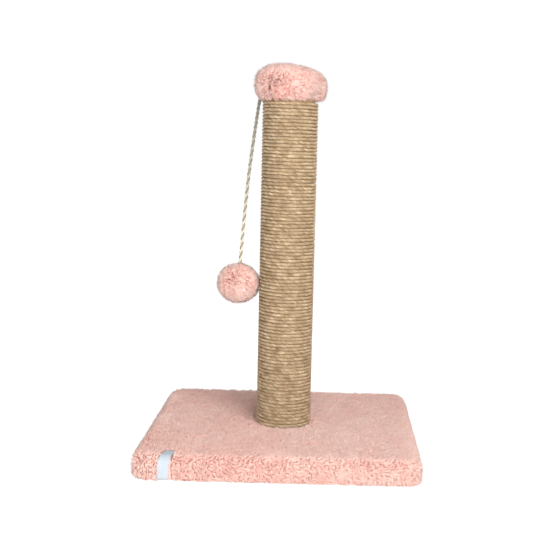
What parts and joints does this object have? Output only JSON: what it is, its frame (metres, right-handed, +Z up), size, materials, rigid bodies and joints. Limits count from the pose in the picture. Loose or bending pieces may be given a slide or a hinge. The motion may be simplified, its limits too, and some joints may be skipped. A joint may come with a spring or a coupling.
{
  "type": "cat scratching post",
  "caption": "Upright post wound in rope on a square plush base, with a gathered plush cap and a plush ball hanging from it on a cord.",
  "frame": {"origin": "middle of the base's underside, where it stands on the floor", "axes": "+Z up the post, -Y towards the front edge with the ribbon, -X towards the side where the toy hangs"},
  "size_m": [0.4, 0.4, 0.58],
  "materials": {
    "chipboard": "raw pressed chips",
    "plush": "short brushed pile",
    "felt": "flat needled felt",
    "staple_wire": "galvanised wire",
    "satin": "woven satin ribbon",
    "cardboard": "spiral-wound kraft board",
    "zinc": "zinc plated",
    "rope": "three-strand jute rope",
    "wadding": "loose polyester wadding",
    "toy_cord_yarn": "two-ply twisted cord",
    "pompom_plush": "long plush tufts"
  },
  "bodies": {
    "post_and_base": {"base_board": "chipboard", "base_cover": "plush", "base_underlay": "felt", "base_staples": "staple_wire", "label_ribbon": "satin", "post_tube": "cardboard", "bottom_plug": "chipboard", "bottom_plug_staples": "staple_wire", "tee_nut": "zinc", "base_washer": "zinc", "base_bolt": "zinc", "rope_winding": "rope", "rope_staple": "staple_wire", "top_plug": "chipboard", "top_plug_staples": "staple_wire", "cap_padding": "wadding", "cap_cover": "plush", "cap_staples": "staple_wire", "toy_staple": "staple_wire", "cord_tail": "toy_cord_yarn"},
    "cord_bend": {"cord_neck": "toy_cord_yarn"},
    "toy": {"toy_cord": "toy_cord_yarn", "cord_knot": "toy_cord_yarn", "toy_pompom": "pompom_plush"}
  },
  "joints": [
    {"name": "toy_swing_out", "type": "hinge", "parent": "post_and_base", "child": "cord_bend", "pos_m": [-0.0466, 0, 0.521], "axis": [0, 1, 0], "range_deg": [0, 80]},
    {"name": "toy_swing_side", "type": "hinge", "parent": "cord_bend", "child": "toy", "pos_m": [-0.0466, 0, 0.521], "axis": [1, 0, 0], "range_deg": [-60, 60]}
  ]
}
